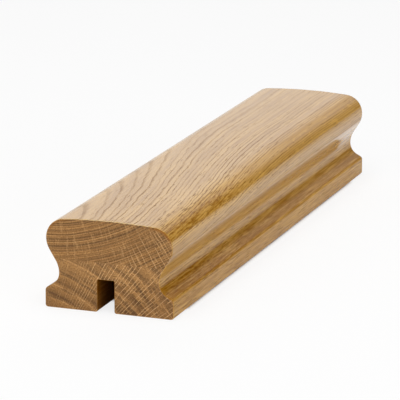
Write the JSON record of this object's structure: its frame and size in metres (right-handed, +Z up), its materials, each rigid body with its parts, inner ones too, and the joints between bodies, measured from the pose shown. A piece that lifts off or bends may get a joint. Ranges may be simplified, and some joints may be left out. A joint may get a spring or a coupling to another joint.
{
  "type": "stair handrail length",
  "caption": "Short length of solid oak stair handrail with an omega section, an arched grip, a coved neck and a groove along its underside for the edge of an infill panel.",
  "frame": {"origin": "middle of the underside, on the level surface that the rail lies on", "axes": "+X along the length, +Y across the section, +Z up from the foot to the grip"},
  "size_m": [0.3, 0.065, 0.045],
  "materials": {
    "oak": "clear satin lacquer on the moulded faces, bare sawn end grain"
  },
  "bodies": {
    "root": {"handrail": "oak"}
  },
  "joints": []
}
